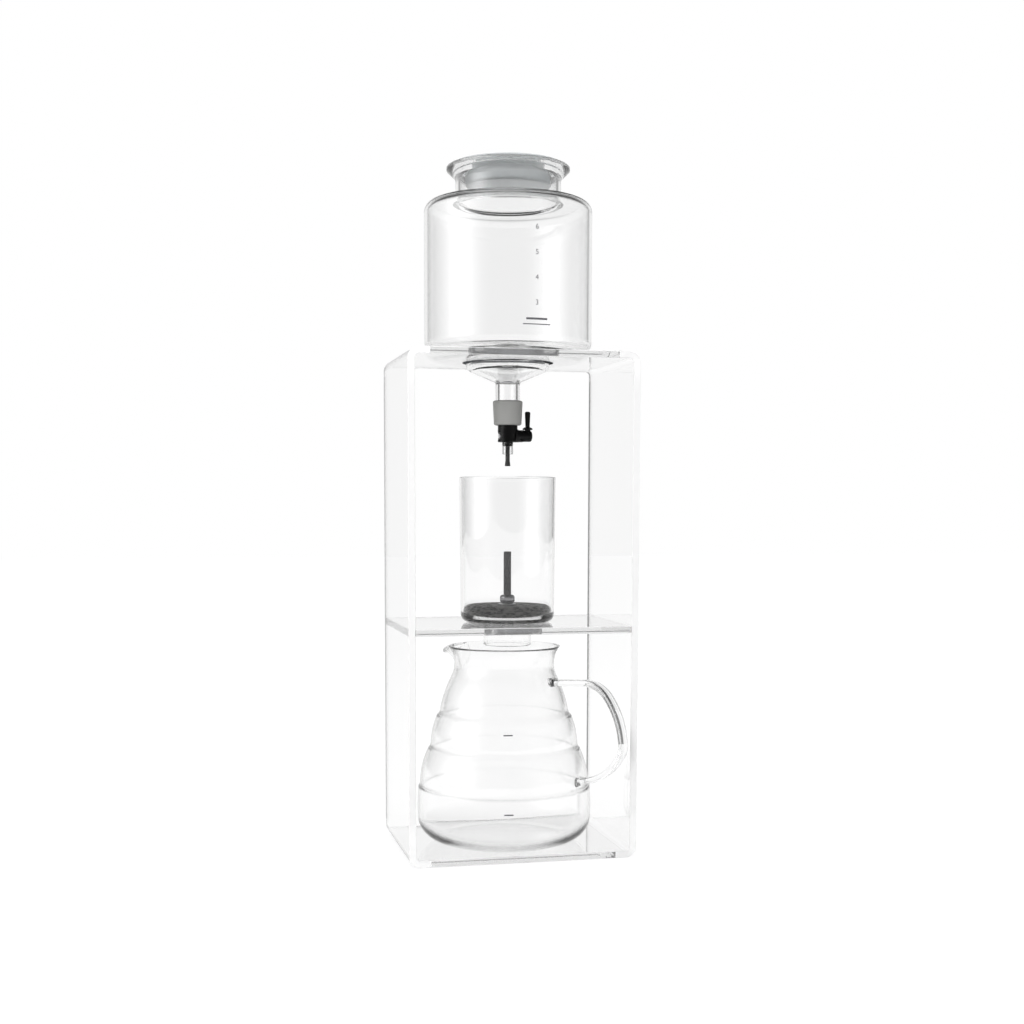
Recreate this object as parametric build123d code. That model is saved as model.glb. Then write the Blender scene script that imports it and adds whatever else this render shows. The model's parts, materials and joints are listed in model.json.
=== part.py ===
from build123d import *
import math
import os

# A cold drip coffee tower. Millimetres, +Z up, the front is -Y.
# The origin is the middle of the footprint, on the surface that the tower stands on.
# Water drips from the tank through the valve onto the coffee in the chamber, and the
# coffee runs through the filter and the outlet tube into the server.

# Stand: one bent loop of clear sheet with a shelf across it
STAND_WIDTH = 165.0
STAND_DEPTH = 115.0
STAND_HEIGHT = 360.0
SHEET = 5.0
STAND_BEND = 8.0  # outer radius of the four bends
SHEET_POLISH = 0.4  # flame-polished edges of the sheet
SHELF_TOP = 167.0
TANK_HOLE_GAP = 2.8  # between the tank's sump and its hole
OUTLET_HOLE_GAP = 3.7  # between the outlet tube and its hole

# Water tank
TANK_RADIUS = 60.5
TANK_WALL = 3.0
TANK_FLOOR = 3.5
TANK_HEIGHT = 109.0  # seat to shoulder
TANK_HEEL = 9.0
TANK_SHOULDER = 8.0
GLASS_EDGE = 0.7  # melted edges of tubes and rims
GLASS_BLEND = 2.0  # where two walls of glass meet
NECK_RADIUS = 38.0
NECK_WALL = 3.2
NECK_HEIGHT = 24.6  # shoulder to rim
LIP_RADIUS = 44.3
LIP_HEIGHT = 8.5
LIP_EDGE = 2.5
LIP_FLARE = 4.0
SUMP_RADIUS = 30.2
SUMP_DEPTH = 10.2
SUMP_HEEL = 4.0
FUNNEL_DEPTH = 9.0
TUBE_RADIUS = 8.8
TUBE_WALL = 2.8
TUBE_LENGTH = 22.3

# Lid
FLANGE_RADIUS = 40.0
FLANGE_THICKNESS = 1.8
PLUG_RADIUS = 31.4
PLUG_DRAFT = 0.8  # how much narrower the plug is at its foot
PLUG_DEPTH = 14.5
LID_WALL = 1.8
LID_EDGE = 0.8
VENT_RADIUS = 1.5

# Sleeve between the tank's tube and the valve
SLEEVE_RADIUS = 10.9
SLEEVE_FOOT_RADIUS = 10.0
SLEEVE_LENGTH = 17.7
SLEEVE_GRIP = 9.5  # length of tube inside the sleeve
SLEEVE_EDGE = 1.4

# Drip valve: an upright body with a barrel to the side, which holds the turning plug
VALVE_RADIUS = 7.2
VALVE_HEIGHT = 12.2
VALVE_BORE = 1.5
STEM_RADIUS = 5.2
STEM_LENGTH = 7.2
BARB_RADIUS = 6.0
BARB_COUNT = 3
BARREL_RADIUS = 4.4
BARREL_HEIGHT = 4.5  # axis of the barrel above the foot of the body
BARREL_END = 11.8
ROOT_RADIUS = 6.0  # cone where the barrel meets the body
ROOT_START = 5.0
ROOT_END = 8.5
SPIGOT_RADIUS = 3.0  # under the body, inside the drip sleeve
SPIGOT_LENGTH = 3.0
BODY_EDGE = 0.5
SPINDLE_RADIUS = 3.0
SPINDLE_GAP = 0.05
HUB_RADIUS = 4.1
HUB_LENGTH = 6.0
HUB_GAP = 0.1  # between the hub and the barrel's end
HUB_EDGE = 1.6
POCKET_RADIUS = 4.0  # pocket for the washer and the screw
POCKET_FLOOR = 4.9  # from the axis of the tower
STOP_DEPTH = 1.0
STOP_LUG_ANGLE = 30.0
STOP_MARGIN = 1.0
LEVER_TURN = 90.0
SEAL_RADIUS = 0.5
SEAL_OFFSET = 3.3
WASHER_RADIUS = 3.7
WASHER_THICKNESS = 0.6
SCREW_RADIUS = 1.0
SCREW_HEAD_RADIUS = 1.9
SCREW_HEAD = 1.1
SCREW_LENGTH = 2.8
SCREW_SLOT = 0.5

# Lever stick on the hub
LEVER_LENGTH = 17.8  # from the axis of the barrel
LEVER_TIP_RADIUS = 2.1
LEVER_NECK_RADIUS = 1.6
LEVER_FLARE_RADIUS = 3.6
LEVER_FLARE_FOOT = 4.5
LEVER_FLARE_TOP = 6.7
LEVER_FLARE_SKIRT = 1.2
LEVER_TIP_EDGE = 1.2
PEG_DEPTH = 2.6

# Nozzle and its sleeve
NOZZLE_RADIUS = 1.6
NOZZLE_TIP_RADIUS = 2.1
NOZZLE_TIP = 4.0  # length of the flare at the end
NOZZLE_BORE = 0.8
NOZZLE_LENGTH = 17.3  # below the valve body
NOZZLE_SOCKET = 1.0
TUBE_EDGE = 0.3  # rounded edges of the small tubes
DRIP_SLEEVE_RADIUS = 4.0
DRIP_SLEEVE_LENGTH = 8.7

# Coffee chamber
CHAMBER_RADIUS = 34.2
CHAMBER_TOP_RADIUS = 35.2
CHAMBER_WALL = 1.6
CHAMBER_FLOOR = 3.5
CHAMBER_HEIGHT = 105.7
OUTLET_RADIUS = 17.6
OUTLET_LENGTH = 17.0

# Filter in the chamber: a pad of woven mesh round a rubber ring and a perforated plate
FILTER_GAP = 0.25  # between the mesh and the chamber's wall
FILTER_HEIGHT = 9.2
MESH_THICKNESS = 0.5
GASKET_WIDTH = 5.5
PLATE_THICKNESS = 1.2
PLATE_GRIP = 0.9  # how far the plate rests on the ring
FILTER_HOLE_RADIUS = 1.1
FILTER_HOLE_PITCH = 4.5
FILTER_FIRST_RING = 10.0
FILTER_RINGS = 4
PIN_RADIUS = 1.5
PIN_LENGTH = 44.0
SPACER_RADIUS = 4.0
CAP_RADIUS = 4.5
CAP_HEIGHT = 3.5
CAP_SKIN = 1.2
WASHER_RIM = 6.5
WASHER_HEIGHT = 0.8
NUT_RADIUS = 5.5
NUT_FOOT_RADIUS = 4.2
NUT_HEIGHT = 6.5
NUT_EDGE = 2.2
GRIP_RADIUS = 2.75
GRIP_LENGTH = 31.6
METAL_EDGE = 0.2
PAD_FLAT = 0.02  # flat left in the middle of the pad's round edge

# Server: a jug with stepped walls
SERVER_SHIFT = -2.3  # the jug stands left of the tower's axis, so that its handle clears the side
SERVER_HEIGHT = 144.4
SERVER_WALL = 2.3
SERVER_FLOOR = 3.0
FOOT_RADIUS = 42.0
BELLY_RADIUS = 64.0
BELLY_HEIGHT = 19.0  # where the heel runs out
# Tiers from the belly up: foot radius, foot height, head radius, head height, bulge
SERVER_TIERS = (
    (BELLY_RADIUS, BELLY_HEIGHT, 63.4, 41.0, 0.4),
    (62.2, 43.5, 56.0, 69.0, 1.6),
    (54.4, 72.0, 49.8, 93.0, 1.0),
    (47.4, 97.0, 39.0, 122.0, 1.0),
)
TIER_HOLLOW = 0.3  # how far the step between two tiers is drawn in
TIER_EDGE = 1.6  # rounding of the tiers' edges
NECK_WAIST = (36.8, 132.5)  # radius and height
MOUTH_RADIUS = 41.0

# Pouring lip of the server
SPOUT_ANGLE = 142.0
SPOUT_RADIUS = 14.0
SPOUT_CENTRE = 35.7  # of the lip's ring, from the jug's axis
SPOUT_DROOP = 26.0  # degrees that the ring hangs down
SPOUT_BEAD = 1.6  # radius of the ring's rolled edge
CHANNEL_RADIUS = 14.0  # of the channel in the neck that leads to the lip
CHANNEL_REACH = 39.6
CHANNEL_DROP = 12.0  # from the rim to the full channel
CHANNEL_LENGTH = 31.0  # from the rim to the channel's start
CHANNEL_START = 37.0
CHANNEL_START_RADIUS = 8.0

# Handle of the server, a bent glass strap
HANDLE_ANGLE = -42.0
HANDLE_GAP = 2.3  # between the handle and the stand's side
HANDLE_WIDTH = 10.0
HANDLE_THICKNESS = 4.5
HANDLE_EDGE = 1.7
HANDLE_TOP = 119.1  # height of the strap's middle line at the jug, above its foot
HANDLE_FOOT = 47.0
# Corners of the middle line: how far inside the reach, height above the foot, bend radius
HANDLE_CORNERS = (
    (19.5, 121.2, 22.0),
    (3.5, 98.0, 60.0),
    (0.0, 73.8, 14.0),
    (13.0, 52.9, 38.0),
)
WELD_LENGTH = 4.0  # thick glass where the strap meets the jug
WELD_SWELL = 1.2

CUT = 1.0  # how far a cutting solid runs past the face that it opens

# Heights that the pieces share
base_top = SHEET
tank_seat = STAND_HEIGHT
shoulder = tank_seat + TANK_HEIGHT
tank_rim = shoulder + NECK_HEIGHT
sump_foot = tank_seat - SUMP_DEPTH
funnel_foot = sump_foot - FUNNEL_DEPTH
tube_end = funnel_foot - TUBE_LENGTH
sleeve_foot = tube_end + SLEEVE_GRIP - SLEEVE_LENGTH
valve_foot = sleeve_foot - VALVE_HEIGHT
barrel_axis = valve_foot + BARREL_HEIGHT
hub_start = BARREL_END + HUB_GAP
lever_x = hub_start + HUB_LENGTH / 2
nozzle_end = valve_foot - NOZZLE_LENGTH
chamber_rim = SHELF_TOP + CHAMBER_HEIGHT
chamber_heel = FILTER_HEIGHT / 2 - FILTER_GAP + CHAMBER_WALL  # the filter's round edge fits inside it
outlet_end = SHELF_TOP - OUTLET_LENGTH
filter_seat = SHELF_TOP + CHAMBER_FLOOR
filter_top = filter_seat + FILTER_HEIGHT
plate_top = filter_top - MESH_THICKNESS
plate_foot = plate_top - PLATE_THICKNESS
pin_foot = filter_seat - CAP_HEIGHT + CAP_SKIN
nut_foot = filter_top + WASHER_HEIGHT
grip_foot = nut_foot + NUT_HEIGHT
server_rim = base_top + SERVER_HEIGHT

# Reach of the strap's middle line, so that its corner just clears the stand's side
handle_room = STAND_WIDTH / 2 - SHEET - HANDLE_GAP - SERVER_SHIFT
handle_tilt = math.radians(abs(HANDLE_ANGLE))
handle_reach = ((handle_room - HANDLE_WIDTH / 2 * math.sin(handle_tilt)) / math.cos(handle_tilt)
                - HANDLE_THICKNESS / 2)


def outline(*corners):
    """A closed face on the XZ plane from (x, z, rounding) corners."""
    points = [(x, z) for x, z, _ in corners]
    roundings = [rounding for _, _, rounding in corners]
    return Plane.XZ * make_face(FilletPolyline(*points, radius=roundings, close=True))


def turned(*corners):
    """A solid of revolution about the tower's axis from (radius, z, rounding) corners."""
    return revolve(outline(*corners), Axis.Z)


def crosswise(radius, start, end):
    """A cylinder on the barrel's axis, between two places along X."""
    middle = Pos((start + end) / 2, 0, barrel_axis)
    return middle * Rot(0, 90, 0) * Cylinder(radius, end - start)


def upright(radius, foot, head, x=0, y=0):
    """An upright cylinder between two heights."""
    return Pos(x, y, (foot + head) / 2) * Cylinder(radius, head - foot)


def sector(inner, outer, first, last, start, end):
    """A part of a ring round the barrel's axis, between two angles from +Y to +Z."""
    reach = 2 * outer
    corners = [(reach * math.cos(math.radians(turn)), reach * math.sin(math.radians(turn)))
               for turn in (first, (first + last) / 2, last)]
    face = Plane.YZ * make_face(Polyline((0, 0), *corners, close=True))
    wedge = Pos(start, 0, barrel_axis) * extrude(face, end - start)
    return (crosswise(outer, start, end) - crosswise(inner, start - CUT, end + CUT)) & wedge


def polished(sheet, along):
    """The sheet with its cut edges on the front and the back broken."""
    faces = sheet.faces().filter_by(Axis.Y).sort_by(Axis.Y)
    edges = ShapeList(faces[0].edges() + faces[-1].edges())
    return chamfer(edges if along is None else edges.filter_by(along), SHEET_POLISH)


def stand_frame():
    middle = Pos(0, 0, STAND_HEIGHT / 2)
    outer = RectangleRounded(STAND_WIDTH, STAND_HEIGHT, STAND_BEND)
    bay = RectangleRounded(STAND_WIDTH - 2 * SHEET, STAND_HEIGHT - 2 * SHEET, STAND_BEND - SHEET)
    loop = middle * extrude(Plane.XZ * (outer - bay), STAND_DEPTH / 2, both=True)
    hole = upright(SUMP_RADIUS + TANK_HOLE_GAP, STAND_HEIGHT - SHEET - CUT, STAND_HEIGHT + CUT)
    return polished(loop, None) - hole


def middle_shelf():
    sheet = Pos(0, 0, SHELF_TOP - SHEET / 2) * Box(STAND_WIDTH - 2 * SHEET, STAND_DEPTH, SHEET)
    hole = upright(OUTLET_RADIUS + OUTLET_HOLE_GAP, SHELF_TOP - SHEET - CUT, SHELF_TOP + CUT)
    return polished(sheet, Axis.X) - hole


def water_tank():
    slope = FUNNEL_DEPTH / (SUMP_RADIUS - TUBE_RADIUS)
    rise = TANK_WALL * math.hypot(1, slope)  # upright thickness of the funnel's wall
    sump_bore = SUMP_RADIUS - TANK_WALL
    tube_bore = TUBE_RADIUS - TUBE_WALL
    bore = TANK_RADIUS - TANK_WALL
    floor = tank_seat + TANK_FLOOR
    return turned(
        (tube_bore, tube_end, GLASS_EDGE),
        (TUBE_RADIUS, tube_end, GLASS_EDGE),
        (TUBE_RADIUS, funnel_foot, GLASS_BLEND),
        (SUMP_RADIUS, sump_foot, SUMP_HEEL),
        (SUMP_RADIUS, tank_seat, GLASS_EDGE),
        (TANK_RADIUS, tank_seat, TANK_HEEL),
        (TANK_RADIUS, shoulder, TANK_SHOULDER),
        (NECK_RADIUS, shoulder, GLASS_BLEND),
        (NECK_RADIUS, tank_rim - LIP_HEIGHT, LIP_FLARE),
        (LIP_RADIUS, tank_rim - LIP_EDGE, GLASS_EDGE),
        (LIP_RADIUS, tank_rim, GLASS_EDGE),
        (NECK_RADIUS - NECK_WALL, tank_rim, GLASS_EDGE),
        (NECK_RADIUS - NECK_WALL, shoulder - TANK_WALL, GLASS_BLEND),
        (bore, shoulder - TANK_WALL, TANK_SHOULDER - TANK_WALL),
        (bore, floor, TANK_HEEL - TANK_WALL),
        (sump_bore, floor, GLASS_BLEND),
        (sump_bore, sump_foot + rise - TANK_WALL * slope, GLASS_BLEND),
        (tube_bore, funnel_foot + rise - TUBE_WALL * slope, GLASS_BLEND),
    )


def tank_lid():
    foot = tank_rim - PLUG_DEPTH
    top = tank_rim + FLANGE_THICKNESS
    well = PLUG_RADIUS - LID_WALL
    lid = turned(
        (0, foot, 0),
        (PLUG_RADIUS - PLUG_DRAFT, foot, 2 * LID_EDGE),
        (PLUG_RADIUS, tank_rim, 0),
        (FLANGE_RADIUS, tank_rim, LID_EDGE),
        (FLANGE_RADIUS, top, LID_EDGE),
        (well, top, LID_EDGE),
        (well - PLUG_DRAFT, foot + LID_WALL, LID_EDGE),
        (0, foot + LID_WALL, 0),
    )
    return lid - upright(VENT_RADIUS, foot - CUT, foot + LID_WALL + CUT, x=PLUG_RADIUS / 2)


def tube_sleeve():
    head = tube_end + SLEEVE_GRIP
    return turned(
        (BARB_RADIUS, sleeve_foot, TUBE_EDGE),
        (SLEEVE_FOOT_RADIUS, sleeve_foot, SLEEVE_EDGE),
        (SLEEVE_RADIUS, head, SLEEVE_EDGE),
        (TUBE_RADIUS, head, TUBE_EDGE),
        (TUBE_RADIUS, tube_end, 0),
        (BARB_RADIUS, tube_end, 0),
    )


def valve_body():
    barb = STEM_LENGTH / BARB_COUNT
    teeth = []
    for tooth in range(BARB_COUNT):
        foot = sleeve_foot + tooth * barb
        teeth += [(BARB_RADIUS, foot, 0), (STEM_RADIUS, foot + barb, 0)]
    spigot_foot = valve_foot - SPIGOT_LENGTH
    body = turned((0, spigot_foot, 0), (SPIGOT_RADIUS, spigot_foot, BODY_EDGE),
                  (SPIGOT_RADIUS, valve_foot, 0), (VALVE_RADIUS, valve_foot, BODY_EDGE),
                  (VALVE_RADIUS, sleeve_foot, BODY_EDGE), *teeth, (0, sleeve_foot + STEM_LENGTH, 0))
    root = Pos((ROOT_START + ROOT_END) / 2, 0, barrel_axis) * Rot(0, 90, 0) * Cone(
        ROOT_RADIUS, BARREL_RADIUS, ROOT_END - ROOT_START)
    body += split(root, Plane.XY.offset(valve_foot))
    body += crosswise(BARREL_RADIUS, 0, BARREL_END)
    body -= upright(VALVE_BORE, spigot_foot - CUT, sleeve_foot + STEM_LENGTH + CUT)
    body -= upright(NOZZLE_RADIUS, spigot_foot - CUT, valve_foot + NOZZLE_SOCKET)
    body -= crosswise(SPINDLE_RADIUS + SPINDLE_GAP, -VALVE_RADIUS, BARREL_END + CUT)
    body -= crosswise(POCKET_RADIUS, -VALVE_RADIUS - CUT, -POCKET_FLOOR)
    half = STOP_LUG_ANGLE / 2 + STOP_MARGIN
    body -= sector(SPINDLE_RADIUS, BARREL_RADIUS + CUT, -90 - half, LEVER_TURN - 90 + half,
                   BARREL_END - STOP_DEPTH, BARREL_END + CUT)
    return body


def valve_plug():
    blind_end = -POCKET_FLOOR - HUB_GAP
    hub = crosswise(HUB_RADIUS, hub_start, hub_start + HUB_LENGTH)
    hub = fillet(hub.edges().sort_by(Axis.X)[-1], HUB_EDGE)
    plug = crosswise(SPINDLE_RADIUS, blind_end, hub_start + HUB_GAP) + hub
    half = STOP_LUG_ANGLE / 2
    plug += sector(SPINDLE_RADIUS - SPINDLE_GAP, HUB_RADIUS, -90 - half, -90 + half,
                   BARREL_END - STOP_DEPTH + HUB_GAP, hub_start + HUB_GAP)
    plug -= upright(VALVE_BORE, barrel_axis - HUB_RADIUS, barrel_axis + HUB_RADIUS)
    for place in (-SEAL_OFFSET, SEAL_OFFSET):
        groove = crosswise(SPINDLE_RADIUS + CUT, place - SEAL_RADIUS, place + SEAL_RADIUS)
        plug -= groove - crosswise(SPINDLE_RADIUS - 2 * SEAL_RADIUS, place - CUT, place + CUT)
    plug -= crosswise(SCREW_RADIUS, blind_end - CUT, blind_end + SCREW_LENGTH)
    plug -= upright(LEVER_NECK_RADIUS, barrel_axis + HUB_RADIUS - PEG_DEPTH, barrel_axis + HUB_RADIUS + CUT,
                    x=lever_x)
    return plug


def valve_plug_seals():
    ring = Torus(SPINDLE_RADIUS - SEAL_RADIUS, SEAL_RADIUS)
    places = (-SEAL_OFFSET, SEAL_OFFSET)
    return Compound([(Pos(place, 0, barrel_axis) * Rot(0, 90, 0) * ring).solid() for place in places])


def valve_plug_washer():
    face = -POCKET_FLOOR - HUB_GAP
    return (crosswise(WASHER_RADIUS, face - WASHER_THICKNESS, face)
            - crosswise(SCREW_RADIUS, face - WASHER_THICKNESS - CUT, face + CUT))


def valve_plug_screw():
    plug_face = -POCKET_FLOOR - HUB_GAP
    washer_face = plug_face - WASHER_THICKNESS
    head = crosswise(SCREW_HEAD_RADIUS, washer_face - SCREW_HEAD, washer_face)
    head = fillet(head.edges().sort_by(Axis.X)[0], BODY_EDGE)
    slot = Pos(washer_face - SCREW_HEAD, 0, barrel_axis) * Box(SCREW_HEAD, 2 * SCREW_HEAD_RADIUS, SCREW_SLOT)
    return head + crosswise(SCREW_RADIUS, washer_face, plug_face + SCREW_LENGTH) - slot


def valve_lever():
    top = LEVER_LENGTH
    stick = turned(
        (0, 0, 0),
        (LEVER_TIP_RADIUS, 0, 0),
        (LEVER_TIP_RADIUS, LEVER_FLARE_FOOT, 0),
        (LEVER_FLARE_RADIUS, LEVER_FLARE_FOOT, BODY_EDGE),
        (LEVER_FLARE_RADIUS, LEVER_FLARE_FOOT + LEVER_FLARE_SKIRT, BODY_EDGE),
        (LEVER_NECK_RADIUS, LEVER_FLARE_TOP, BODY_EDGE),
        (LEVER_TIP_RADIUS, top, LEVER_TIP_EDGE),
        (0, top, 0),
    )
    stick = Pos(lever_x, 0, barrel_axis) * stick
    peg = upright(LEVER_NECK_RADIUS, barrel_axis + HUB_RADIUS - PEG_DEPTH, barrel_axis + HUB_RADIUS + CUT,
                  x=lever_x)
    return stick - crosswise(HUB_RADIUS, hub_start - CUT, hub_start + HUB_LENGTH + CUT) + peg


def drip_nozzle():
    head = valve_foot + NOZZLE_SOCKET
    return turned((NOZZLE_BORE, nozzle_end, TUBE_EDGE), (NOZZLE_TIP_RADIUS, nozzle_end, TUBE_EDGE),
                  (NOZZLE_RADIUS, nozzle_end + NOZZLE_TIP, NOZZLE_TIP / 2), (NOZZLE_RADIUS, head, 0),
                  (NOZZLE_BORE, head, 0))


def drip_sleeve():
    foot = valve_foot - DRIP_SLEEVE_LENGTH
    return turned((SPIGOT_RADIUS, foot, TUBE_EDGE), (DRIP_SLEEVE_RADIUS, foot, TUBE_EDGE),
                  (DRIP_SLEEVE_RADIUS, valve_foot, 0), (SPIGOT_RADIUS, valve_foot, 0))


def coffee_chamber():
    outlet_bore = OUTLET_RADIUS - CHAMBER_WALL
    return turned(
        (outlet_bore, outlet_end, GLASS_EDGE),
        (OUTLET_RADIUS, outlet_end, GLASS_EDGE),
        (OUTLET_RADIUS, SHELF_TOP, GLASS_BLEND),
        (CHAMBER_RADIUS, SHELF_TOP, chamber_heel),
        (CHAMBER_TOP_RADIUS, chamber_rim, GLASS_EDGE),
        (CHAMBER_TOP_RADIUS - CHAMBER_WALL, chamber_rim, GLASS_EDGE),
        (CHAMBER_RADIUS - CHAMBER_WALL, filter_seat, chamber_heel - CHAMBER_WALL),
        (outlet_bore, filter_seat, GLASS_BLEND),
    )


def pad(inset, bore):
    """The filter's pillow shape, with its round edge, shrunk by the inset."""
    radius = CHAMBER_RADIUS - CHAMBER_WALL - FILTER_GAP - inset
    foot = filter_seat + inset
    head = filter_top - inset
    edge = (head - foot - PAD_FLAT) / 2
    return turned((bore, foot, 0), (radius, foot, edge), (radius, head, edge), (bore, head, 0))


def gasket_bore():
    return CHAMBER_RADIUS - CHAMBER_WALL - FILTER_GAP - MESH_THICKNESS - GASKET_WIDTH


def filter_mesh():
    return pad(0, PIN_RADIUS) - pad(MESH_THICKNESS, 0)


def filter_gasket():
    ring = pad(MESH_THICKNESS, gasket_bore())
    return ring - upright(gasket_bore() + PLATE_GRIP, plate_foot, plate_top + CUT)


def filter_holes():
    """Rings of drain holes round the pin, all at about the same pitch."""
    holes = []
    for ring in range(FILTER_RINGS):
        radius = FILTER_FIRST_RING + ring * FILTER_HOLE_PITCH
        count = int(2 * math.pi * radius / FILTER_HOLE_PITCH)
        holes += [place * Cylinder(FILTER_HOLE_RADIUS, FILTER_HEIGHT)
                  for place in PolarLocations(radius, count)]
    return Pos(0, 0, plate_foot) * Compound([hole.solid() for hole in holes])


def filter_plate():
    plate = upright(gasket_bore() + PLATE_GRIP, plate_foot, plate_top)
    return plate - upright(PIN_RADIUS, plate_foot - CUT, plate_top + CUT) - filter_holes()


def filter_spacer():
    foot = filter_seat + MESH_THICKNESS
    return upright(SPACER_RADIUS, foot, plate_foot) - upright(PIN_RADIUS, foot - CUT, plate_foot + CUT)


def filter_cap_nut():
    foot = filter_seat - CAP_HEIGHT
    cap = turned((0, foot, 0), (CAP_RADIUS, foot, CAP_HEIGHT / 2), (CAP_RADIUS, filter_seat, 0),
                 (0, filter_seat, 0))
    return cap - upright(PIN_RADIUS, pin_foot, filter_seat + CUT)


def filter_pin():
    head = pin_foot + PIN_LENGTH
    return turned((0, pin_foot, 0), (PIN_RADIUS, pin_foot, 0), (PIN_RADIUS, head, PIN_RADIUS / 2),
                  (0, head, 0))


def filter_washer():
    return turned((PIN_RADIUS, filter_top, 0), (WASHER_RIM, filter_top, METAL_EDGE),
                  (WASHER_RIM, nut_foot, METAL_EDGE), (PIN_RADIUS, nut_foot, 0))


def filter_nut():
    waist = nut_foot + NUT_HEIGHT / 3
    return turned((PIN_RADIUS, nut_foot, 0), (NUT_FOOT_RADIUS, nut_foot, METAL_EDGE),
                  (NUT_RADIUS, waist, NUT_EDGE / 2), (NUT_RADIUS, grip_foot, NUT_EDGE),
                  (PIN_RADIUS, grip_foot, 0))


def filter_grip():
    head = grip_foot + GRIP_LENGTH
    return turned((PIN_RADIUS, grip_foot, 0), (GRIP_RADIUS, grip_foot, 0), (GRIP_RADIUS, head, TUBE_EDGE),
                  (PIN_RADIUS, head, TUBE_EDGE))


def bulged(start, end, bulge):
    """An arc between two places, which stands out by the bulge at its middle."""
    run = Vector(*end) - Vector(*start)
    outward = Vector(run.Y, -run.X).normalized()
    middle = (Vector(*start) + Vector(*end)) / 2 + outward * bulge
    return ThreePointArc(start, middle, end)


def server_solid(inset, floor):
    """The jug's outer shape, or its hollow with the wall's inset and the floor's height."""
    heel = BELLY_HEIGHT - floor
    foot = (FOOT_RADIUS - inset, base_top + floor)
    edges = [Line((0, foot[1]), foot)]
    belly = (BELLY_RADIUS - inset, base_top + BELLY_HEIGHT)
    centre = (foot[0], belly[1])
    edges.append(EllipticalCenterArc(centre, belly[0] - foot[0], heel, 270, arc_size=90))
    place = belly
    steps = []
    for foot_radius, foot_height, head_radius, head_height, bulge in SERVER_TIERS:
        tier_foot = (foot_radius - inset, base_top + foot_height)
        tier_head = (head_radius - inset, base_top + head_height)
        if tier_foot != place:
            edges.append(bulged(place, tier_foot, -TIER_HOLLOW))
            steps += [(*place, 0), (*tier_foot, 0)]
        edges.append(bulged(tier_foot, tier_head, bulge))
        place = tier_head
    waist = (NECK_WAIST[0] - inset, base_top + NECK_WAIST[1])
    rim = (MOUTH_RADIUS - inset, server_rim)
    edges += [ThreePointArc(place, waist, rim), Line(rim, (0, server_rim))]
    edges.append(Line((0, server_rim), (0, foot[1])))
    profile = make_face(edges)
    corners = [profile.vertices().sort_by_distance(step)[0] for step in steps]
    return revolve(Plane.XZ * fillet(corners, TIER_EDGE), Axis.Z)


def spout_plane():
    """The plane of the pouring lip's ring, which hangs down to the outside."""
    droop = math.radians(SPOUT_DROOP)
    return Plane((SPOUT_CENTRE, 0, server_rim), x_dir=(math.cos(droop), 0, -math.sin(droop)),
                 z_dir=(math.sin(droop), 0, math.cos(droop)))


def spout_solid(inset):
    """The pouring lip and the channel in the neck that leads to it, or their hollow."""
    start = Plane((CHANNEL_START - CHANNEL_START_RADIUS, 0, server_rim - CHANNEL_LENGTH))
    channel = Plane((CHANNEL_REACH - CHANNEL_RADIUS, 0, server_rim - CHANNEL_DROP))
    sections = [
        start * Circle(CHANNEL_START_RADIUS - inset),
        channel * Circle(CHANNEL_RADIUS - inset),
        spout_plane() * Circle(SPOUT_RADIUS - inset),
    ]
    return Rot(0, 0, SPOUT_ANGLE) * loft(sections)


def spout_bead():
    """The rolled edge of the pouring lip."""
    ring = spout_plane() * Torus(SPOUT_RADIUS - SERVER_WALL / 2, SPOUT_BEAD)
    return Rot(0, 0, SPOUT_ANGLE) * ring


def coffee_server():
    jug = server_solid(0, 0) + spout_solid(0) + spout_bead()
    jug -= server_solid(SERVER_WALL, SERVER_FLOOR)
    jug -= spout_solid(SERVER_WALL)
    return Pos(SERVER_SHIFT, 0, 0) * split(jug, Plane.XY.offset(server_rim), keep=Keep.BOTTOM)


def strap(swell):
    """The cross-section of the handle."""
    return RectangleRounded(HANDLE_WIDTH + 2 * swell, HANDLE_THICKNESS + 2 * swell, HANDLE_EDGE + swell)


def root(tier, height):
    """Where the strap's middle line starts, inside the jug's wall."""
    return Vector(tier[2] - SERVER_WALL, 0, base_top + height)


def weld(tier, height, corner):
    """The thick glass where an arm of the handle leaves the wall towards its first corner."""
    foot_radius, foot_height, head_radius, head_height, _ = tier
    share = (height - foot_height) / (head_height - foot_height)
    wall = foot_radius + share * (head_radius - foot_radius)
    start = root(tier, height)
    along = (corner - start).normalized()
    leave = start + along * ((wall - start.X) / along.X)
    sections = [
        Plane(start, x_dir=(0, 1, 0), z_dir=along) * strap(WELD_SWELL),
        Plane(leave, x_dir=(0, 1, 0), z_dir=along) * strap(WELD_SWELL),
        Plane(leave + along * WELD_LENGTH, x_dir=(0, 1, 0), z_dir=along) * strap(0),
    ]
    return loft(sections, ruled=True)


def server_handle():
    low_tier = SERVER_TIERS[1]
    top_tier = SERVER_TIERS[-1]
    corners = [Vector(handle_reach - inset, 0, base_top + height) for inset, height, _ in HANDLE_CORNERS]
    bends = [bend for _, _, bend in HANDLE_CORNERS]
    start = root(top_tier, HANDLE_TOP)
    line = FilletPolyline(start, *corners, root(low_tier, HANDLE_FOOT), radius=bends)
    handle = sweep(Plane(start, x_dir=(0, 1, 0), z_dir=line % 0) * strap(0), line)
    handle += weld(top_tier, HANDLE_TOP, corners[0])
    handle += weld(low_tier, HANDLE_FOOT, corners[-1])
    return Pos(SERVER_SHIFT, 0, 0) * (Rot(0, 0, HANDLE_ANGLE) * handle - server_solid(0, 0))


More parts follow.
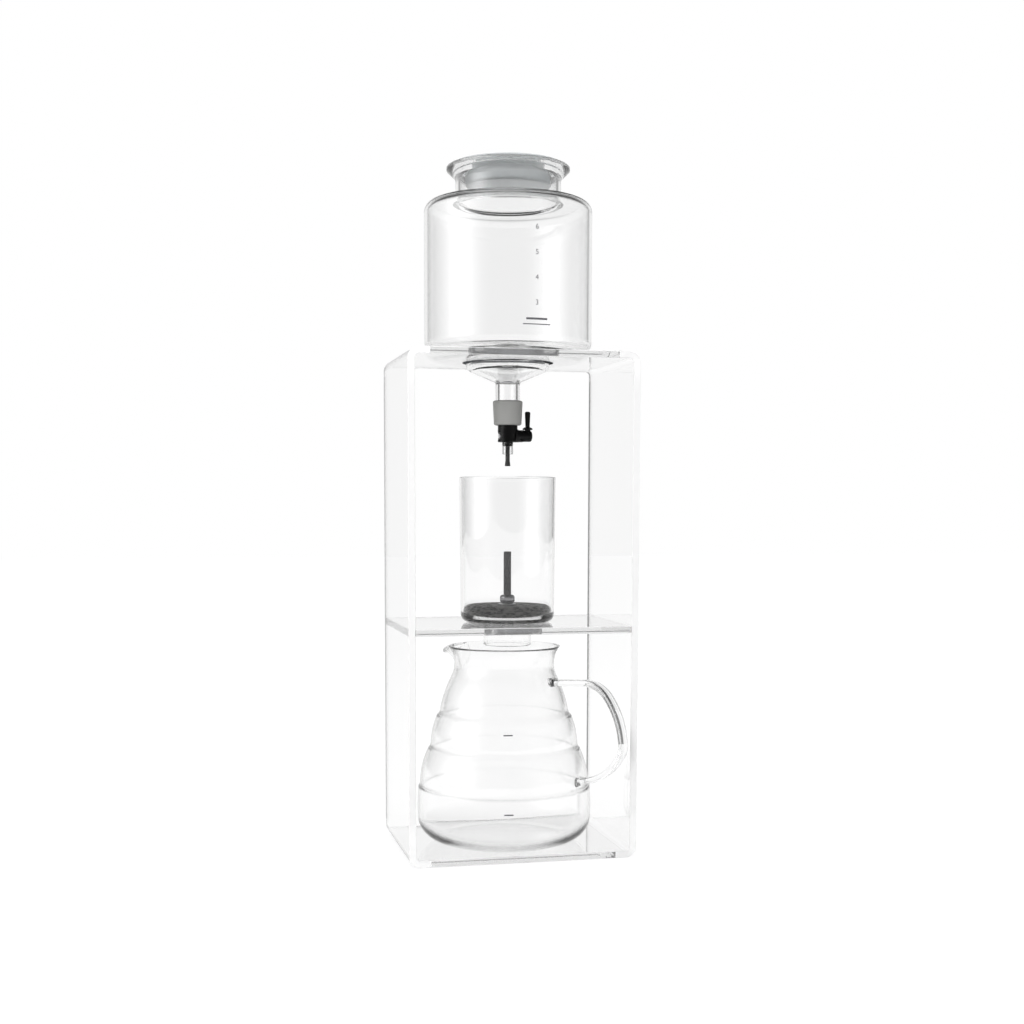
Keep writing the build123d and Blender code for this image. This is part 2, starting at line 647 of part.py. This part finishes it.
PIECES = (
    stand_frame, middle_shelf, water_tank, tank_lid, tube_sleeve, valve_body, valve_plug, valve_plug_seals,
    valve_plug_washer, valve_plug_screw, valve_lever, drip_nozzle, drip_sleeve, coffee_chamber, filter_mesh,
    filter_gasket, filter_plate, filter_spacer, filter_cap_nut, filter_pin, filter_washer, filter_nut,
    filter_grip, coffee_server, server_handle,
)

os.makedirs("parts", exist_ok=True)
for piece in PIECES:
    export_step(piece(), f"parts/{piece.__name__}.step")
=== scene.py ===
import json
import math

import bpy
from mathutils import Euler, Matrix, Vector
from mathutils.bvhtree import BVHTree


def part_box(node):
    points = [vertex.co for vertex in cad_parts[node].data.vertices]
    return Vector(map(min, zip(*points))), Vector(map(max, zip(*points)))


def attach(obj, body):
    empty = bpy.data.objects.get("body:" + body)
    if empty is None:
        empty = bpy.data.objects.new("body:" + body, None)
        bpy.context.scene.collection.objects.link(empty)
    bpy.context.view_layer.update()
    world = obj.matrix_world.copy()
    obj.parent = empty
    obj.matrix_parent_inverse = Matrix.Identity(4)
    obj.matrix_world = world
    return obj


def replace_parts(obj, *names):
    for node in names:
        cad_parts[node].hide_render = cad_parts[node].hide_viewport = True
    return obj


# A cold drip coffee tower of clear glass and clear sheet in a white studio.
# Metres, +Z up, the front is -Y.

MM = 0.001
WHITE = (1.0, 1.0, 1.0, 1.0)

# Camera: its place, and how it is turned from level, looking along +Y, in degrees
CAMERA_PLACE = (-0.2417, -1.0642, 0.2531)
CAMERA_YAW = 12.98
CAMERA_PITCH = 4.845
CAMERA_ROLL = 0.135
PICTURE = 1024  # pixels
CAMERA_FOCUS = 1487  # pixels
CAMERA_HEART = 630.3  # pixels from the top to the lens's axis
SENSOR = 36.0  # width in the lens's own millimetres

# The surround that lights the object, and what glass and reflections show of it.
# Compass directions are in degrees from +X, and their bounds are cosines from them.
AMBIENT = 0.72
SKY_LOW = 0.28  # sine of the elevation where the bright wall ends
SKY_HIGH = 0.62  # and where the dark ceiling starts
CEILING = 0.25
ROOM = 0.9  # how bright reflections show the wall
FRONT_ROOM = 0.25  # and the room behind the camera
FRONT_WAY = -102.8
FRONT_LOW = -0.4  # where the wall ends
FRONT_HIGH = 0.6  # and where the room behind the camera starts
COLUMNS = ((-172.0, 3.0), (-48.3, 0.25))  # soft upright lights: direction and strength
COLUMN_SHARPNESS = 12.0
FIELD_WAY = 79.0  # light that glass turns aside shows the wall only near this direction
FIELD_LOW = 0.8  # where it is dark
FIELD_HIGH = 0.92  # and where it is bright
FIELD_DARK = 0.2

# The floor
FLOOR_SIZE = 12.0
FLOOR_DROP = 0.1 * MM
FLOOR_COLOUR = (0.86, 0.86, 0.86, 1)  # for the light that it throws on the object
FLOOR_GLOW = 0.9  # how bright the camera sees it
FLOOR_ROOM = 0.9  # and what share of that reflections show
FLOOR_SHADE = (0.15, 0.15, 0.15, 1)  # what of its light it shows beside the glow

# Lamps: name, place, width, height and watts
LAMP_AIM = (0.0, 0.0, 0.25)
LAMPS = (
    ("left_softbox", (-0.9, -0.9, 0.75), 0.35, 1.2, 9.0),
    ("right_softbox", (1.2, -0.5, 0.6), 0.4, 1.2, 5.0),
    ("top_softbox", (0.0, 0.1, 1.7), 0.9, 0.9, 8.0),
)

# How often light may be turned on its way through all the clear walls, and between bright metal
CLEAR_BOUNCES = 64
GLOSSY_BOUNCES = 8

# Clear materials: what colour their absorption leaves, absorption per metre, index of refraction
GLASS_TINT = (0.0, 0.03, 0.03)
GLASS_ABSORPTION = 5.0
GLASS_IOR = 1.5
ACRYLIC_TINT = (0.0, 0.03, 0.02)
ACRYLIC_ABSORPTION = 1.0
ACRYLIC_IOR = 1.49
SILICONE_TINT = (0.0, 0.02, 0.03)
SILICONE_ABSORPTION = 60.0
SILICONE_IOR = 1.41
CREASE_SOFTNESS = 2.0 * MM
AIR_FILM = 0.05 * MM  # between a piece and what it stands on or fits between

# Surfaces: sizes of their patterns, and how deep these look
MOULD_GRAIN = 0.3 * MM
MOULD_DEPTH = 0.05
RUBBER_GRAIN = 0.4 * MM
RUBBER_DEPTH = 0.15
GRAIN_DETAIL = 3.0
BRUSH_PITCH = 0.3 * MM
BRUSH_DEPTH = 0.1
BRUSH_WOBBLE = 4.0
WEAVE_PITCH = 0.5 * MM
WEAVE_DEPTH = 0.8
SPOT_SIZE = 4.0 * MM  # of the steel mesh's uneven spots
SPOT_FLATNESS = 3.0  # how much wider than high they are
SPOT_DETAIL = 2.0
SPOT_LOW = 0.35  # levels of the noise where the dark tone ends
SPOT_HIGH = 0.65  # and where the pale one starts
SPOT_DARK = (0.02, 0.02, 0.02, 1.0)
SPOT_PALE = (0.34, 0.33, 0.305, 1.0)

# Cut edges of the clear sheet: where they are, from the tower's axis, and how they look.
# Facing is how squarely a surface is turned along one axis, from 0 to 1.
CUT_REACH = 50.0 * MM  # the front and back edges lie further from the middle than this
CUT_FACING = 0.3  # and face the front or back at least so squarely
CUT_FLAT = 0.9  # less is an edge's own rounded corner, which is satin everywhere
CUT_SIDE = 77.6 * MM  # the uprights' edges start here, outside those of the shelf
UPRIGHT_MIDDLE = 180.0 * MM  # the height of the uprights' middle
UPRIGHT_HALF = 168.0 * MM  # and how far up and down from there they are straight
BEND_SIDE = 67.0 * MM  # the bends' edges start here, above and below the uprights
CUT_COVER = 0.75  # how far a satin edge, or a round opening's wall with its painted shade, is opaque
CUT_LEVEL_COVER = 0.15  # and a flat edge of the top, base or shelf
CUT_ROUGHNESS = 0.4
BACK_EDGE_SHADE = (0.2, 0.2, 0.2, 1.0)  # painted shade on the uprights' back edges: dark grey as they look through the sheet from the front, also when seen from behind
HOLE_REACH = 35.0 * MM  # the walls of the round holes lie nearer to the axis than this
# Painted shade on the walls of the round holes: a dark blue-grey, where they lie in shade.
HOLE_SHADE_TONE = (0.10, 0.11, 0.125, 1.0)

# Printed scale on the tank
PRINT_PROUD = 0.05 * MM
SCALE_TURN = -83.5  # degrees round the tank from +X
SCALE_DIGITS = "6543"
SCALE_TOP = 442.0 * MM
SCALE_STEP = 17.0 * MM
DIGIT_SIZE = 5.0 * MM
BAR_WIDE = (20.0 * MM, 0.7 * MM, 376.3 * MM)  # width, height and place above the floor
BAR_BOLD = (15.5 * MM, 1.4 * MM, 380.0 * MM)
BAR_STRIPS = 12  # flat strips that a bent bar is made of

# Two level marks on the server
MARK_PROUD = 0.15 * MM
MARK_TURN = -99.5  # degrees round the server from +X
MARK_WIDTH = 6.5 * MM
MARK_HEIGHT = 0.9 * MM
MARKS = (("high", 90.5 * MM), ("low", 36.0 * MM))  # name and place above the floor
SERVER_MIDDLE = -2.3 * MM

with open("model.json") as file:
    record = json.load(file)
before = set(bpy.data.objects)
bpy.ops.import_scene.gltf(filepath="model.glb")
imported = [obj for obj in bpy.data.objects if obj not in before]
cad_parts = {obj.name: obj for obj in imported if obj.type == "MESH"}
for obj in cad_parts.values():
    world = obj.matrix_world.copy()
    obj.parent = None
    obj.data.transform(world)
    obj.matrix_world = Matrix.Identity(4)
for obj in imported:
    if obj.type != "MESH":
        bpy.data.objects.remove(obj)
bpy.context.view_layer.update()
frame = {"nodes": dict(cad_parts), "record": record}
nodes = frame["nodes"]
scene = bpy.context.scene


# Shader nodes

def feed(tree, socket, value):
    """Puts a value, or a link from another socket, on an input."""
    if isinstance(value, bpy.types.NodeSocket):
        tree.links.new(value, socket)
    else:
        socket.default_value = value


def new(tree, kind, **inputs):
    """A shader node with these values or links on its inputs, where _0 is the first of them."""
    node = tree.nodes.new(kind)
    for key, value in inputs.items():
        feed(tree, node.inputs[int(key[1:]) if key[1:].isdigit() else key], value)
    return node


def maths(tree, operation, first, second=0.0):
    """One sum of two numbers or sockets, or of the first alone."""
    made = new(tree, "ShaderNodeMath", _0=first, _1=second)
    made.operation = operation
    return made.outputs[0]


def choice(tree, amount, low, high):
    """The low value where the amount is 0 and the high one where it is 1 or more."""
    inputs = {"Value": amount, "To Min": low, "To Max": high}
    return new(tree, "ShaderNodeMapRange", **inputs).outputs[0]


def faded(tree, amount, start, end, low, high):
    """A soft step from the low value at the start to the high one at the end."""
    inputs = {"Value": amount, "From Min": start, "From Max": end, "To Min": low, "To Max": high}
    made = new(tree, "ShaderNodeMapRange", **inputs)
    made.interpolation_type = "SMOOTHSTEP"
    return made.outputs[0]


def blend(tree, amount, low, high):
    """A mix of two colours."""
    made = tree.nodes.new("ShaderNodeMix")
    made.data_type = "RGBA"
    for socket, value in (("Factor", amount), (6, low), (7, high)):
        feed(tree, made.inputs[socket], value)
    return made.outputs[2]


def spot_on(tree):
    """Where on the object a point of the surface is."""
    return tree.nodes.new("ShaderNodeTexCoord").outputs["Object"]


# Materials

def material(name, **sockets):
    """A new Principled material with these constant values on its sockets."""
    made = bpy.data.materials.new(name)
    made.use_nodes = True
    shader = made.node_tree.nodes["Principled BSDF"]
    for socket, value in sockets.items():
        target = shader.inputs[socket.replace("_", " ")]
        target.default_value = (*value, 1.0) if isinstance(value, tuple) else value
    return made


def clear(name, tint, ior, absorption, roughness=0.0):
    """A transparent material that darkens with the length of the light's way through it."""
    made = material(name, Transmission_Weight=1.0, Roughness=roughness, IOR=ior,
                    Base_Color=(1.0, 1.0, 1.0))
    tree = made.node_tree
    volume = new(tree, "ShaderNodeVolumeAbsorption", Color=(*tint, 1.0), Density=absorption)
    tree.links.new(volume.outputs["Volume"], tree.nodes["Material Output"].inputs["Volume"])
    return made


def bump(made, height, strength, distance):
    """Adds a bump from a height socket to a material."""
    tree = made.node_tree
    node = new(tree, "ShaderNodeBump", Strength=strength, Distance=distance, Height=height)
    tree.links.new(node.outputs["Normal"], tree.nodes["Principled BSDF"].inputs["Normal"])


def mottled(made, size, dark, pale):
    """Uneven colour between two tones."""
    tree = made.node_tree
    flat = new(tree, "ShaderNodeVectorMath", _0=spot_on(tree), _1=(1.0, 1.0, SPOT_FLATNESS))
    flat.operation = "MULTIPLY"
    noise = new(tree, "ShaderNodeTexNoise", Vector=flat.outputs[0], Scale=1 / size,
                Detail=SPOT_DETAIL)
    spots = faded(tree, noise.outputs["Fac"], SPOT_LOW, SPOT_HIGH, 0.0, 1.0)
    tone = blend(tree, spots, dark, pale)
    tree.links.new(tone, tree.nodes["Principled BSDF"].inputs["Base Color"])
    return made


def grained(made, size, strength):
    """A fine even grain, as on moulded rubber or plastic."""
    tree = made.node_tree
    noise = new(tree, "ShaderNodeTexNoise", Vector=spot_on(tree), Scale=1 / size,
                Detail=GRAIN_DETAIL)
    bump(made, noise.outputs["Fac"], strength, size)
    return made


def brushed(made, size, strength):
    """Fine lines round the tower's axis, as turning or brushing leaves them."""
    tree = made.node_tree
    rings = new(tree, "ShaderNodeTexWave", Vector=spot_on(tree), Scale=1 / size,
                Distortion=BRUSH_WOBBLE)
    rings.wave_type = "RINGS"
    rings.rings_direction = "Z"
    bump(made, rings.outputs["Fac"], strength, size)
    return made


def woven(made, pitch, strength):
    """A plain weave of wires, the same in all three directions."""
    tree = made.node_tree
    parts = new(tree, "ShaderNodeSeparateXYZ", Vector=spot_on(tree))
    waves = []
    for axis in "XYZ":
        turn = maths(tree, "MULTIPLY", parts.outputs[axis], 2 * math.pi / pitch)
        waves.append(maths(tree, "SINE", turn))
    level = maths(tree, "MULTIPLY", waves[0], waves[1])
    bump(made, maths(tree, "ADD", level, waves[2]), strength, pitch)
    return made


def satin_edges(made):
    """Cut edges in satin white, with painted shade: dark grey on the uprights' back edges and dark
    walls round the holes.
    """
    tree = made.node_tree
    shader = tree.nodes["Principled BSDF"]
    place = tree.nodes.new("ShaderNodeTexCoord")
    spot = new(tree, "ShaderNodeSeparateXYZ", Vector=place.outputs["Object"])
    normal = new(tree, "ShaderNodeSeparateXYZ", Vector=place.outputs["Normal"])

    def over(amount, bound):
        return maths(tree, "GREATER_THAN", amount, bound)

    def under(amount, bound):
        return maths(tree, "LESS_THAN", amount, bound)

    def both(first, second):
        return maths(tree, "MULTIPLY", first, second)

    across = maths(tree, "ABSOLUTE", spot.outputs["Y"])
    aside = maths(tree, "ABSOLUTE", spot.outputs["X"])
    facing = maths(tree, "ABSOLUTE", normal.outputs["Y"])
    rising = maths(tree, "ABSOLUTE", normal.outputs["Z"])
    off_middle = maths(tree, "ABSOLUTE", maths(tree, "SUBTRACT", spot.outputs["Z"], UPRIGHT_MIDDLE))

    cut = both(over(across, CUT_REACH), over(facing, CUT_FACING))
    uprights = both(over(aside, CUT_SIDE), under(off_middle, UPRIGHT_HALF))
    bends = both(over(aside, BEND_SIDE), over(off_middle, UPRIGHT_HALF))
    behind = over(spot.outputs["Y"], 0.0)
    ahead = maths(tree, "SUBTRACT", 1.0, behind)
    ends = maths(tree, "MAXIMUM", uprights, both(bends, ahead))
    full = maths(tree, "MAXIMUM", ends, under(facing, CUT_FLAT))
    near = both(under(across, HOLE_REACH), under(aside, HOLE_REACH))
    hole_shade = both(near, under(rising, CUT_FACING))

    cover = both(cut, choice(tree, full, CUT_LEVEL_COVER, CUT_COVER))
    covered = maths(tree, "ADD", cover, both(hole_shade, CUT_COVER))
    tree.links.new(maths(tree, "SUBTRACT", 1.0, covered), shader.inputs["Transmission Weight"])
    roughness = choice(tree, both(cut, full), 0.0, CUT_ROUGHNESS)
    tree.links.new(roughness, shader.inputs["Roughness"])
    # Painted shade: the uprights' back edges are coloured dark grey, and the holes' walls dark.
    tone = blend(tree, both(both(cut, uprights), behind), WHITE, BACK_EDGE_SHADE)
    tree.links.new(blend(tree, hole_shade, tone, HOLE_SHADE_TONE), shader.inputs["Base Color"])
    return made


def soft_creases(made):
    """Creases that look a little rounder than they are, as blown glass has them."""
    tree = made.node_tree
    node = new(tree, "ShaderNodeBevel", Radius=CREASE_SOFTNESS)
    tree.links.new(node.outputs["Normal"], tree.nodes["Principled BSDF"].inputs["Normal"])
    return made


SLOTS = {
    "clear_acrylic": satin_edges(
        clear("clear_acrylic", ACRYLIC_TINT, ACRYLIC_IOR, ACRYLIC_ABSORPTION)),
    "clear_glass": clear("clear_glass", GLASS_TINT, GLASS_IOR, GLASS_ABSORPTION),
    "frosted_plastic": material(
        "frosted_plastic", Base_Color=(0.95, 0.98, 0.99), Roughness=0.18,
        Transmission_Weight=0.5, IOR=ACRYLIC_IOR),
    "grey_silicone": grained(
        material("grey_silicone", Base_Color=(0.32, 0.32, 0.31), Roughness=0.6),
        RUBBER_GRAIN, RUBBER_DEPTH),
    "clear_silicone": clear(
        "clear_silicone", SILICONE_TINT, SILICONE_IOR, SILICONE_ABSORPTION, roughness=0.1),
    "black_silicone": grained(
        material("black_silicone", Base_Color=(0.035, 0.035, 0.035), Roughness=0.55),
        RUBBER_GRAIN, RUBBER_DEPTH),
    "black_plastic": grained(
        material("black_plastic", Base_Color=(0.003, 0.003, 0.003), Roughness=0.2,
                 Specular_IOR_Level=0.15),
        MOULD_GRAIN, MOULD_DEPTH),
    "brushed_steel": brushed(
        material("brushed_steel", Base_Color=(0.60, 0.60, 0.61), Metallic=1.0, Roughness=0.32),
        BRUSH_PITCH, BRUSH_DEPTH),
    "steel_mesh": mottled(
        woven(material("steel_mesh", Metallic=0.5, Roughness=0.5, Alpha=0.8),
              WEAVE_PITCH, WEAVE_DEPTH),
        SPOT_SIZE, SPOT_DARK, SPOT_PALE),
    "chrome": material("chrome", Base_Color=(0.24, 0.24, 0.25), Metallic=1.0, Roughness=0.04),
}
BLOWN = soft_creases(clear("blown_glass", GLASS_TINT, GLASS_IOR, GLASS_ABSORPTION))
PRINT = material("print", Base_Color=(0.10, 0.10, 0.11), Roughness=0.5)

record = frame["record"]
slot_of = {sub["node"]: sub["material_slot"] for sub in record["subparts"]}
body_of = {node: body for body, members in record["behaviour"]["bodies"].items()
           for node in members}
for node, slot in slot_of.items():
    for place in nodes[node].material_slots:
        place.link = "OBJECT"
        place.material = SLOTS[slot]


# Pieces

def piece(name, mesh, body, paint):
    """A new piece of the object, on one of its bodies."""
    made = bpy.data.objects.new(name, mesh)
    scene.collection.objects.link(made)
    made.data.materials.clear()
    made.data.materials.append(paint)
    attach(made, body)
    return made


def stood_off(node, name, shift, squeeze=1.0, paint=None):
    """A node's own shape again, a film of air away from what it touches."""
    mesh = nodes[node].data.copy()
    mesh.transform(Matrix.Translation(shift) @ Matrix.Diagonal((squeeze, 1.0, 1.0, 1.0)))
    slot = slot_of[node]
    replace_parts(piece(name, mesh, body_of[node], paint or SLOTS[slot]), node)


def wrapped(mesh, turn, radius, middle=0.0):
    """Bends a flat drawing, x across and y up, round an upright axis."""
    for vertex in mesh.vertices:
        angle = math.radians(turn) + vertex.co.x / radius
        reach = radius + vertex.co.z
        vertex.co = (middle + reach * math.cos(angle), reach * math.sin(angle), vertex.co.y)
    return mesh


def wall_radius(node, middle, turn, height):
    """How far a round wall is from its upright axis, on one side at a height."""
    way = Vector((math.cos(math.radians(turn)), math.sin(math.radians(turn)), 0.0))
    start = Vector((middle, 0.0, height))
    mesh = nodes[node].data
    skin = BVHTree.FromPolygons([vertex.co for vertex in mesh.vertices],
                                [face.vertices for face in mesh.polygons])
    place, _, _, _ = skin.ray_cast(start + way, -way)
    return (place - start).length


def drawn(*bars):
    """One flat mesh of rectangles, each by its width, its height and the height of its middle."""
    vertices, faces = [], []
    for width, height, middle in bars:
        first = len(vertices)
        for step in range(BAR_STRIPS + 1):
            across = width * (step / BAR_STRIPS - 0.5)
            vertices += [(across, middle - height / 2, 0.0), (across, middle + height / 2, 0.0)]
        for step in range(BAR_STRIPS):
            a = first + 2 * step
            faces.append((a, a + 2, a + 3, a + 1))
    mesh = bpy.data.meshes.new("bars")
    mesh.from_pydata(vertices, [], faces)
    return mesh


def digit(text, middle):
    """A flat mesh of one digit, centred, at a height."""
    curve = bpy.data.curves.new("digit", "FONT")
    curve.body = text
    curve.size = DIGIT_SIZE
    curve.align_x = "CENTER"
    curve.align_y = "CENTER"
    holder = bpy.data.objects.new("digit", curve)
    mesh = bpy.data.meshes.new_from_object(holder)
    bpy.data.objects.remove(holder)
    mesh.transform(Matrix.Translation((0, middle, 0)))
    return mesh


stood_off("water_tank", "tank_glass", (0, 0, AIR_FILM))
stood_off("coffee_chamber", "chamber_glass", (0, 0, AIR_FILM))
stood_off("coffee_server", "server_glass", (0, 0, AIR_FILM), paint=BLOWN)
stood_off("tank_lid", "lid_plastic", (0, 0, 2 * AIR_FILM))
shelf_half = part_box("middle_shelf")[1].x
stood_off("middle_shelf", "shelf_sheet", (0, 0, 0), squeeze=1 - AIR_FILM / shelf_half)

print_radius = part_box("water_tank")[1].x + PRINT_PROUD
bars = wrapped(drawn(BAR_WIDE, BAR_BOLD), SCALE_TURN, print_radius)
piece("tank_scale_bars", bars, "tank", PRINT)
for number, text in enumerate(SCALE_DIGITS):
    figure = wrapped(digit(text, SCALE_TOP - number * SCALE_STEP), SCALE_TURN, print_radius)
    piece("tank_scale_" + text, figure, "tank", PRINT)

for name, height in MARKS:
    radius = wall_radius("coffee_server", SERVER_MIDDLE, MARK_TURN, height) + MARK_PROUD
    mark = wrapped(drawn((MARK_WIDTH, MARK_HEIGHT, height)), MARK_TURN, radius, SERVER_MIDDLE)
    piece("server_mark_" + name, mark, "server", PRINT)


# Studio

def seen(tree):
    """1 for what the camera sees, straight, in a reflection or through glass, and 0 for light."""
    path = tree.nodes.new("ShaderNodeLightPath")
    shown = maths(tree, "MAXIMUM", path.outputs["Is Camera Ray"], path.outputs["Is Glossy Ray"])
    return path, maths(tree, "MAXIMUM", shown, path.outputs["Is Transmission Ray"])


def toward(tree, way, degrees):
    """How far a way points to a compass direction, from -1 to 1."""
    turn = math.radians(degrees)
    compass = (math.cos(turn), math.sin(turn), 0.0)
    made = new(tree, "ShaderNodeVectorMath", _0=way, _1=compass)
    made.operation = "DOT_PRODUCT"
    return made.outputs["Value"]


def studio_world():
    """A white surround, whose dark parts and soft lights only glass and reflections show."""
    world = bpy.data.worlds.new("studio")
    world.use_nodes = True
    scene.world = world
    tree = world.node_tree
    path, visible = seen(tree)
    way = tree.nodes.new("ShaderNodeTexCoord").outputs["Generated"]
    parts = new(tree, "ShaderNodeSeparateXYZ", Vector=way)
    flat = new(tree, "ShaderNodeCombineXYZ", X=parts.outputs["X"], Y=parts.outputs["Y"])
    level = new(tree, "ShaderNodeVectorMath", _0=flat.outputs[0])
    level.operation = "NORMALIZE"
    compass = level.outputs[0]
    ceiling = faded(tree, parts.outputs["Z"], SKY_LOW, SKY_HIGH, 1.0, CEILING)
    front = toward(tree, compass, FRONT_WAY)
    room = faded(tree, front, FRONT_LOW, FRONT_HIGH, ROOM, FRONT_ROOM)
    field = toward(tree, compass, FIELD_WAY)
    turned = faded(tree, field, FIELD_LOW, FIELD_HIGH, FIELD_DARK, ROOM)
    room = choice(tree, path.outputs["Transmission Depth"], room, turned)
    for degrees, strength in COLUMNS:
        facing = maths(tree, "MAXIMUM", toward(tree, compass, degrees), 0.0)
        column = maths(tree, "POWER", facing, COLUMN_SHARPNESS)
        room = maths(tree, "ADD", room, maths(tree, "MULTIPLY", column, strength))
    room = choice(tree, path.outputs["Glossy Depth"], 1.0, room)
    dimmed = maths(tree, "MULTIPLY", ceiling, room)
    strength = choice(tree, path.outputs["Is Camera Ray"], dimmed, 1.0)
    light = new(tree, "ShaderNodeBackground", Color=WHITE, Strength=AMBIENT)
    wall = new(tree, "ShaderNodeBackground", Color=WHITE, Strength=strength)
    mix = new(tree, "ShaderNodeMixShader", Fac=visible, _1=light.outputs[0], _2=wall.outputs[0])
    tree.links.new(mix.outputs[0], tree.nodes["World Output"].inputs["Surface"])


def studio_floor():
    """A white floor that keeps a faint shadow of the object."""
    half = FLOOR_SIZE / 2
    corners = ((-half, -half), (half, -half), (half, half), (-half, half))
    mesh = bpy.data.meshes.new("floor")
    mesh.from_pydata([(x, y, -FLOOR_DROP) for x, y in corners], [], [(0, 1, 2, 3)])
    floor = bpy.data.objects.new("floor", mesh)
    scene.collection.objects.link(floor)
    paint = bpy.data.materials.new("floor")
    paint.use_nodes = True
    tree = paint.node_tree
    tree.nodes.remove(tree.nodes["Principled BSDF"])
    path, visible = seen(tree)
    strength = choice(tree, path.outputs["Glossy Depth"], FLOOR_GLOW, FLOOR_GLOW * FLOOR_ROOM)
    plain = new(tree, "ShaderNodeBsdfDiffuse", Color=FLOOR_COLOUR)
    shade = new(tree, "ShaderNodeBsdfDiffuse", Color=FLOOR_SHADE)
    glow = new(tree, "ShaderNodeEmission", Color=WHITE, Strength=strength)
    white = new(tree, "ShaderNodeAddShader", _0=shade.outputs[0], _1=glow.outputs[0])
    mix = new(tree, "ShaderNodeMixShader", Fac=visible, _1=plain.outputs[0], _2=white.outputs[0])
    tree.links.new(mix.outputs[0], tree.nodes["Material Output"].inputs["Surface"])
    mesh.materials.append(paint)


def softbox(name, place, width, height, power):
    """A rectangular lamp at a place, turned to the object."""
    lamp = bpy.data.lights.new(name, "AREA")
    lamp.shape = "RECTANGLE"
    lamp.size = width
    lamp.size_y = height
    lamp.energy = power
    box = bpy.data.objects.new(name, lamp)
    box.location = place
    aim = Vector(LAMP_AIM) - Vector(place)
    box.rotation_euler = aim.to_track_quat("-Z", "Y").to_euler()
    box.visible_glossy = False
    box.visible_transmission = False
    scene.collection.objects.link(box)


def camera():
    """The photograph's camera."""
    lens = bpy.data.cameras.new("camera")
    lens.sensor_width = SENSOR
    lens.lens = SENSOR * CAMERA_FOCUS / PICTURE
    lens.shift_y = (CAMERA_HEART - PICTURE / 2) / PICTURE
    made = bpy.data.objects.new("camera", lens)
    made.location = CAMERA_PLACE
    turn = Euler((math.radians(90 - CAMERA_PITCH), 0, math.radians(-CAMERA_YAW))).to_matrix()
    roll = Matrix.Rotation(math.radians(CAMERA_ROLL), 3, "Z")
    made.rotation_euler = (turn @ roll).to_euler()
    scene.collection.objects.link(made)
    scene.camera = made


studio_world()
studio_floor()
for lamp in LAMPS:
    softbox(*lamp)
camera()
scene.view_settings.view_transform = "Standard"
scene.cycles.max_bounces = CLEAR_BOUNCES
scene.cycles.transmission_bounces = CLEAR_BOUNCES
scene.cycles.glossy_bounces = GLOSSY_BOUNCES
